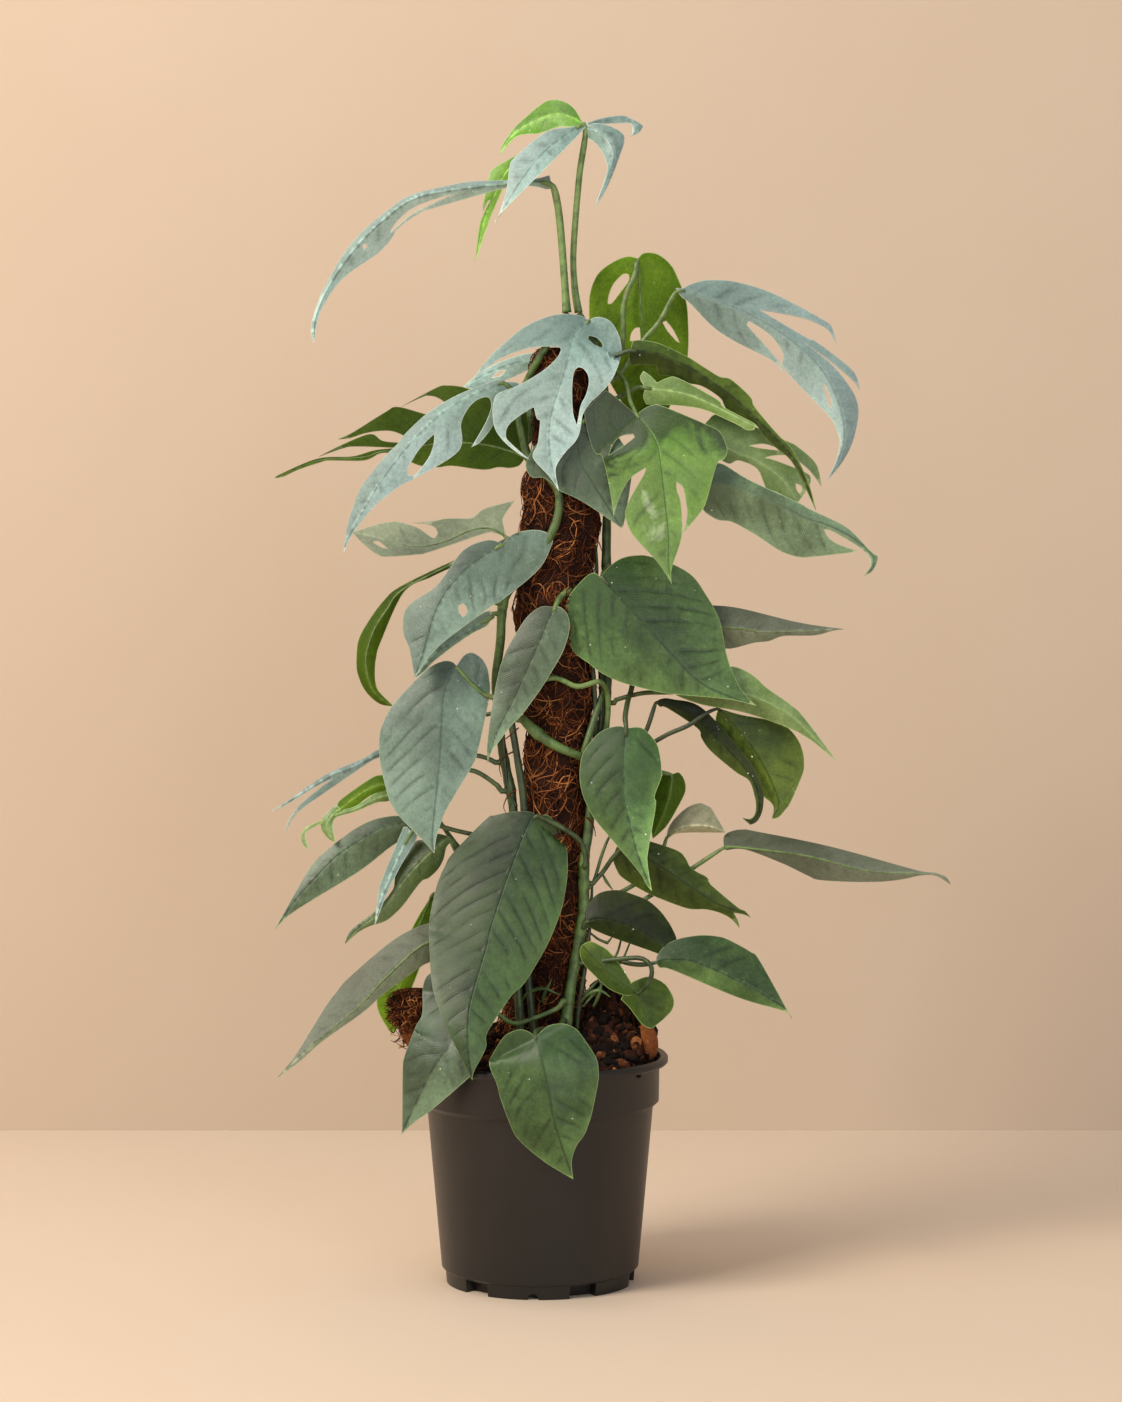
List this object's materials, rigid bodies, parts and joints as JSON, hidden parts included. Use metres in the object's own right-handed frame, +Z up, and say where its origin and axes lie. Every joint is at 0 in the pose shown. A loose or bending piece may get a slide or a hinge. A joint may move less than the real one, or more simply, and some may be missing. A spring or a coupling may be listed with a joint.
{
  "type": "potted cebu blue pothos",
  "caption": "Climbing aroid house plant with blue-green entire and split leaves on a coir pole in a round tapered nursery pot.",
  "frame": {"origin": "centre of the pot's base, on the floor", "axes": "+Z up along the pot's axis, -Y towards the viewer of the front, +X to the viewer's right"},
  "size_m": [0.6291, 0.2584, 1.1038],
  "materials": {
    "leaf_blue": "satin",
    "leaf_teal": "satin",
    "leaf_green": "satin",
    "leaf_dark": "satin",
    "leaf_bright": "satin",
    "leaf_underside": "matte",
    "green_stem": "satin",
    "coir": "matte",
    "bark_mix": "matte",
    "stake_wood": "matte",
    "pot_plastic": "matte"
  },
  "bodies": {
    "root": {"pot": "pot_plastic", "soil": "bark_mix", "pole_stake": "stake_wood", "pole_sleeve": "coir", "husk_left": "coir", "vine_right": "green_stem", "vine_left": "green_stem", "vine_middle": "green_stem", "vine_back": "green_stem", "vine_cross": "green_stem", "leaf_crown": "leaf_blue", "leaf_long_left": "leaf_blue", "leaf_back_crown": "leaf_underside", "leaf_right_blue": "leaf_blue", "leaf_centre_blue": "leaf_blue", "leaf_upper_left": "leaf_blue", "leaf_behind_pole": "leaf_blue", "leaf_split_left": "leaf_underside", "leaf_under_centre": "leaf_teal", "leaf_bright_split": "leaf_bright", "leaf_right_dark": "leaf_green", "leaf_pale_right": "leaf_bright", "leaf_lit_right": "leaf_bright", "leaf_drooping_right": "leaf_green", "leaf_left_grey": "leaf_underside", "leaf_broad_left": "leaf_teal", "leaf_curl_left": "leaf_underside", "leaf_shaded_left": "leaf_teal", "leaf_left_big": "leaf_teal", "leaf_centre_left": "leaf_teal", "leaf_right_big": "leaf_green", "leaf_right_grey": "leaf_teal", "leaf_light_right": "leaf_green", "leaf_hook_right": "leaf_dark", "leaf_round_right": "leaf_dark", "leaf_centre_right": "leaf_green", "leaf_small_right": "leaf_underside", "leaf_pale_small": "leaf_teal", "leaf_right_long": "leaf_green", "leaf_two_tips": "leaf_green", "leaf_low_dark": "leaf_dark", "leaf_low_right": "leaf_green", "leaf_pair_low": "leaf_green", "leaf_front_long": "leaf_green", "leaf_left_low": "leaf_teal", "leaf_left_under": "leaf_underside", "leaf_over_rim": "leaf_green", "leaf_front_heart": "leaf_green", "leaf_left_dark": "leaf_green", "leaf_twin_left": "leaf_blue", "leaf_bright_curl": "leaf_bright", "leaf_narrow_blue": "leaf_blue", "leaf_wavy_left": "leaf_underside", "leaf_rear_top": "leaf_green", "leaf_rear_upper_left": "leaf_green", "leaf_rear_left": "leaf_teal", "leaf_rear_right": "leaf_green", "leaf_rear_low_left": "leaf_green", "leaf_rear_low_right": "leaf_green", "leaf_rear_base": "leaf_green"}
  },
  "joints": []
}
